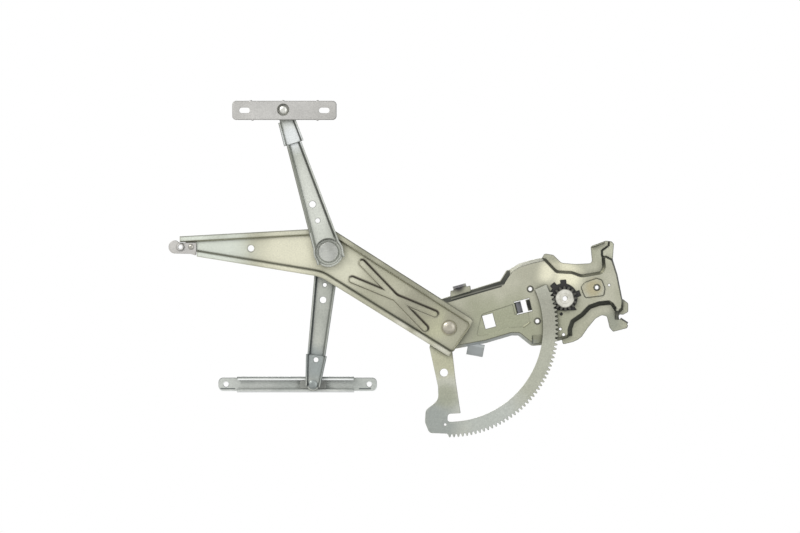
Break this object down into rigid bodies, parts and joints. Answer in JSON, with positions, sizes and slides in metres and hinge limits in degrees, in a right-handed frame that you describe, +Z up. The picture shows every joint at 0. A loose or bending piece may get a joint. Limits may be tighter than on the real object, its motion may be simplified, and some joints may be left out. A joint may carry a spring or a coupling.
{
  "type": "window regulator",
  "caption": "Cross-arm car window regulator with a toothed sector on a pressed base plate, a scissor arm, a glass bracket and a sliding guide rail.",
  "frame": {"origin": "on the drive axis, in the base plate's front face", "axes": "+X from the arms to the drive, along the regulator's length; +Y to the back, where the motor sits; +Z up"},
  "size_m": [0.5799, 0.0369, 0.4241],
  "materials": {
    "plate_zinc": "olive zinc passivation on pressed steel",
    "nut_zinc": "zinc plated press nut",
    "rivet_steel": "bright cold headed steel",
    "bearing_plastic": "moulded black plastic",
    "arm_zinc": "yellowish zinc passivation on pressed steel",
    "sector_zinc": "zinc passivation on stamped steel",
    "bush_bronze": "sintered bronze",
    "tongue_zinc": "grey zinc plate",
    "cross_zinc": "grey green zinc plate on pressed steel",
    "hub_steel": "machined steel",
    "bracket_zinc": "warm grey zinc plate",
    "gear_steel": "sintered steel, dark between the teeth",
    "shoe_plastic": "dark moulded plastic",
    "rail_zinc": "grey green zinc plate on rolled steel"
  },
  "bodies": {
    "base": {"base_plate": "plate_zinc", "motor_nuts": "nut_zinc", "main_stud": "rivet_steel", "main_washer": "rivet_steel", "drive_bearing": "bearing_plastic"},
    "main_arm": {"main_arm": "arm_zinc", "sector_gear": "sector_zinc", "main_bush": "bush_bronze", "cross_bush": "bush_bronze", "lift_tongue": "tongue_zinc", "tongue_rivet": "rivet_steel"},
    "cross_arm": {"upper_cross_arm": "cross_zinc", "upper_arm_end": "cross_zinc", "lower_cross_arm": "cross_zinc", "lower_arm_end": "cross_zinc", "cross_hub": "hub_steel", "cross_spacer": "rivet_steel", "bracket_pin": "rivet_steel", "shoe_pin": "rivet_steel"},
    "glass_bracket": {"glass_bracket": "bracket_zinc"},
    "pinion": {"pinion": "gear_steel", "drive_coupling": "gear_steel"},
    "rail_shoe": {"rail_shoe": "shoe_plastic"},
    "guide_rail": {"guide_rail": "rail_zinc"}
  },
  "joints": [
    {"name": "main_arm_lift", "type": "hinge", "parent": "base", "child": "main_arm", "pos_m": [-0.14593, 0, -0.03679], "axis": [0, -1, 0], "range_deg": [0, 92]},
    {"name": "cross_arm_pivot", "type": "hinge", "parent": "main_arm", "child": "cross_arm", "pos_m": [-0.29783, 0, 0.05886], "axis": [0, -1, 0], "range_deg": [-184, 0]},
    {"name": "bracket_swivel", "type": "hinge", "parent": "cross_arm", "child": "glass_bracket", "pos_m": [-0.35437, 0, 0.23711], "axis": [0, -1, 0], "range_deg": [0, 92]},
    {"name": "shoe_swivel", "type": "hinge", "parent": "cross_arm", "child": "rail_shoe", "pos_m": [-0.31751, 0, -0.10869], "axis": [0, -1, 0], "range_deg": [0, 92]},
    {"name": "rail_slide", "type": "slide", "parent": "rail_shoe", "child": "guide_rail", "axis": [1, 0, 0], "range_m": [-0.034, 0.079]},
    {"name": "pinion_spin", "type": "hinge", "parent": "base", "child": "pinion", "pos_m": [0, 0, 0], "axis": [0, -1, 0], "range_deg": [-897, 0]}
  ],
  "couplings": [
    {"joint": "cross_arm_pivot", "follows": "main_arm_lift", "ratio": -2},
    {"joint": "bracket_swivel", "follows": "main_arm_lift", "ratio": 1},
    {"joint": "shoe_swivel", "follows": "main_arm_lift", "ratio": 1},
    {"joint": "pinion_spin", "follows": "main_arm_lift", "ratio": -9.75}
  ]
}
